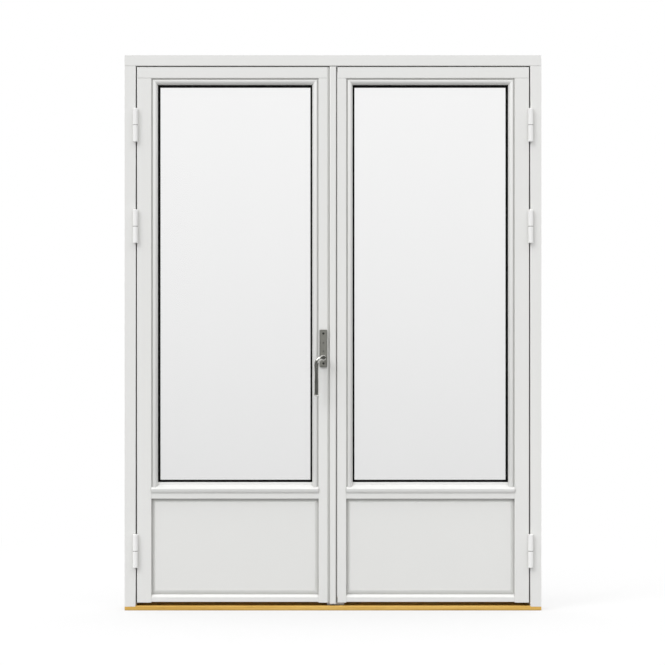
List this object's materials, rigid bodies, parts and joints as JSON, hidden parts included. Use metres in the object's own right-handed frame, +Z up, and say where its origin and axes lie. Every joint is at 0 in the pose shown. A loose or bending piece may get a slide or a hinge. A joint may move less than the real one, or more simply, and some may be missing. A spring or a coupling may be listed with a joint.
{
  "type": "french doors",
  "caption": "Pair of painted timber french doors in a frame with an oak threshold, glazed above a panel, with knuckle hinges and a lever-driven bolt.",
  "frame": {"origin": "middle of the threshold's underside, at mid width and mid depth of the frame", "axes": "+X to the right as seen from the room, +Y away from the viewer, +Z up"},
  "size_m": [1.49, 0.1601, 1.985],
  "materials": {
    "painted_wood": "satin white paint",
    "oak": "clear oiled oak",
    "black_rubber": "matt",
    "pale_rubber": "matt",
    "clear_glass": "polished",
    "spacer_black": "matt",
    "hinge_white": "white powder coat",
    "handle_nickel": "satin nickel",
    "bolt_steel": "zinc plated"
  },
  "bodies": {
    "frame": {"frame_head": "painted_wood", "jamb_left": "painted_wood", "jamb_right": "painted_wood", "threshold": "oak", "frame_seal": "black_rubber", "head_strike": "bolt_steel", "threshold_strike": "bolt_steel", "hinge_pins": "bolt_steel", "left_top_hinge_frame_half": "hinge_white", "left_middle_hinge_frame_half": "hinge_white", "left_bottom_hinge_frame_half": "hinge_white", "right_top_hinge_frame_half": "hinge_white", "right_middle_hinge_frame_half": "hinge_white", "right_bottom_hinge_frame_half": "hinge_white"},
    "active_leaf": {"active_hinge_stile": "painted_wood", "active_meeting_stile": "painted_wood", "active_top_rail": "painted_wood", "active_mid_rail": "painted_wood", "active_bottom_rail": "painted_wood", "active_panel": "painted_wood", "active_glass_panes": "clear_glass", "active_spacer": "spacer_black", "active_gaskets": "black_rubber", "active_bead_top": "painted_wood", "active_bead_hinge_side": "painted_wood", "active_bead_meeting_side": "painted_wood", "active_bead_bottom": "painted_wood", "left_top_hinge_leaf_half": "hinge_white", "left_middle_hinge_leaf_half": "hinge_white", "left_bottom_hinge_leaf_half": "hinge_white", "cover_strip": "painted_wood", "meeting_seal": "pale_rubber", "handle_plate": "handle_nickel", "handle_screws": "handle_nickel", "bolt_case": "bolt_steel"},
    "handle": {"handle_lever": "handle_nickel", "handle_spindle": "bolt_steel", "drive_gear": "bolt_steel"},
    "upper_bolt": {"upper_bolt_rod": "bolt_steel"},
    "lower_bolt": {"lower_bolt_rod": "bolt_steel"},
    "passive_leaf": {"passive_hinge_stile": "painted_wood", "passive_meeting_stile": "painted_wood", "passive_top_rail": "painted_wood", "passive_mid_rail": "painted_wood", "passive_bottom_rail": "painted_wood", "passive_panel": "painted_wood", "passive_glass_panes": "clear_glass", "passive_spacer": "spacer_black", "passive_gaskets": "black_rubber", "passive_bead_top": "painted_wood", "passive_bead_hinge_side": "painted_wood", "passive_bead_meeting_side": "painted_wood", "passive_bead_bottom": "painted_wood", "right_top_hinge_leaf_half": "hinge_white", "right_middle_hinge_leaf_half": "hinge_white", "right_bottom_hinge_leaf_half": "hinge_white", "flush_bolt_plates": "bolt_steel"},
    "flush_bolt_top": {"flush_bolt_top": "bolt_steel"},
    "flush_bolt_bottom": {"flush_bolt_bottom": "bolt_steel"}
  },
  "joints": [
    {"name": "active_leaf_swing", "type": "hinge", "parent": "frame", "child": "active_leaf", "pos_m": [-0.706, -0.062, 0.9], "axis": [0, 0, -1], "range_deg": [0, 170]},
    {"name": "passive_leaf_swing", "type": "hinge", "parent": "frame", "child": "passive_leaf", "pos_m": [0.706, -0.062, 0.9], "axis": [0, 0, 1], "range_deg": [0, 170]},
    {"name": "handle_turn", "type": "hinge", "parent": "active_leaf", "child": "handle", "pos_m": [-0.0342, -0.0215, 0.904], "axis": [0, 1, 0], "range_deg": [0, 90]},
    {"name": "upper_bolt_slide", "type": "slide", "parent": "active_leaf", "child": "upper_bolt", "axis": [0, 0, 1], "range_m": [0, 0.012]},
    {"name": "lower_bolt_slide", "type": "slide", "parent": "active_leaf", "child": "lower_bolt", "axis": [0, 0, -1], "range_m": [0, 0.012]},
    {"name": "flush_bolt_top_slide", "type": "slide", "parent": "passive_leaf", "child": "flush_bolt_top", "axis": [0, 0, 1], "range_m": [0, 0.014]},
    {"name": "flush_bolt_bottom_slide", "type": "slide", "parent": "passive_leaf", "child": "flush_bolt_bottom", "axis": [0, 0, -1], "range_m": [0, 0.014]}
  ],
  "couplings": [
    {"joint": "upper_bolt_slide", "follows": "handle_turn", "m_per_rad": 0.0075},
    {"joint": "lower_bolt_slide", "follows": "handle_turn", "m_per_rad": 0.0075}
  ]
}
